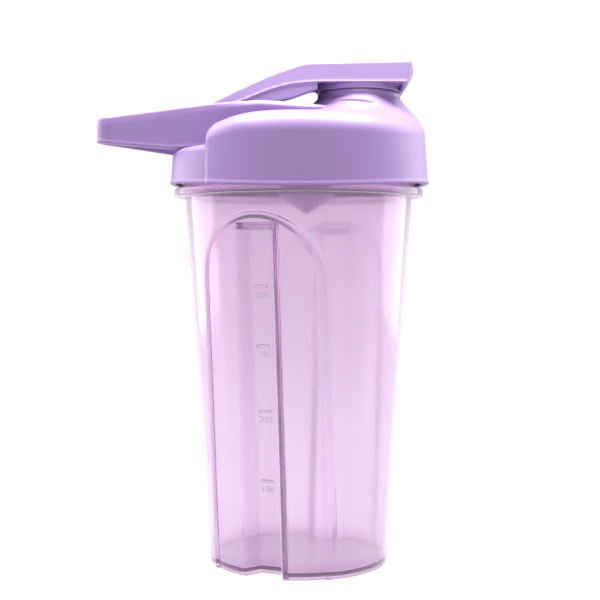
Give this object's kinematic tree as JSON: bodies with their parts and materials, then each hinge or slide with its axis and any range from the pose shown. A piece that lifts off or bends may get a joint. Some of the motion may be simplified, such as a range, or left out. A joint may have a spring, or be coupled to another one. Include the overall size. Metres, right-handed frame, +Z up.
{
  "type": "protein shaker bottle",
  "caption": "Tapered translucent shaker cup with grip panels, a threaded lid with round spout, carry loop and hinged flip cap, and a mixing rod.",
  "frame": {"origin": "on the cup's axis, in the plane that the base rests on", "axes": "+Z up along the cup's axis, +X towards the spout, -X towards the carry loop"},
  "size_m": [0.1273, 0.0998, 0.1889],
  "materials": {
    "cup": "clear tinted plastic, smooth inside and out, slightly hazy",
    "lid": "opaque lilac polypropylene with a satin moulded finish",
    "cap": "opaque lilac polypropylene with a satin moulded finish",
    "seal": "soft matt elastomer",
    "gasket": "translucent silicone",
    "pin": "drawn stainless wire",
    "mixer": "matt moulded plastic"
  },
  "bodies": {
    "cup": {"cup_body": "cup"},
    "gasket": {"lid_gasket": "gasket"},
    "lid": {"lid_shell": "lid", "carry_loop": "lid", "hinge_pin": "pin"},
    "cap": {"flip_cap": "cap", "spout_plug": "seal"},
    "mixer": {"mixing_rod": "mixer"}
  },
  "joints": [
    {"name": "lid_rise", "type": "slide", "parent": "cup", "child": "gasket", "axis": [0, 0, 1], "range_m": [0, 0.0181]},
    {"name": "lid_unscrew", "type": "hinge", "parent": "gasket", "child": "lid", "pos_m": [0, 0, 0.15], "axis": [0, 0, 1], "range_deg": [0, 720]},
    {"name": "flip_cap_hinge", "type": "hinge", "parent": "lid", "child": "cap", "pos_m": [-0.036, 0, 0.169], "axis": [0, -1, 0], "range_deg": [0, 115]},
    {"name": "mixing_rod_pull", "type": "slide", "parent": "lid", "child": "mixer", "axis": [0, 0, -1], "range_m": [0, 0.02]}
  ],
  "couplings": [
    {"joint": "lid_rise", "follows": "lid_unscrew", "m_per_rad": 0.0014324}
  ]
}
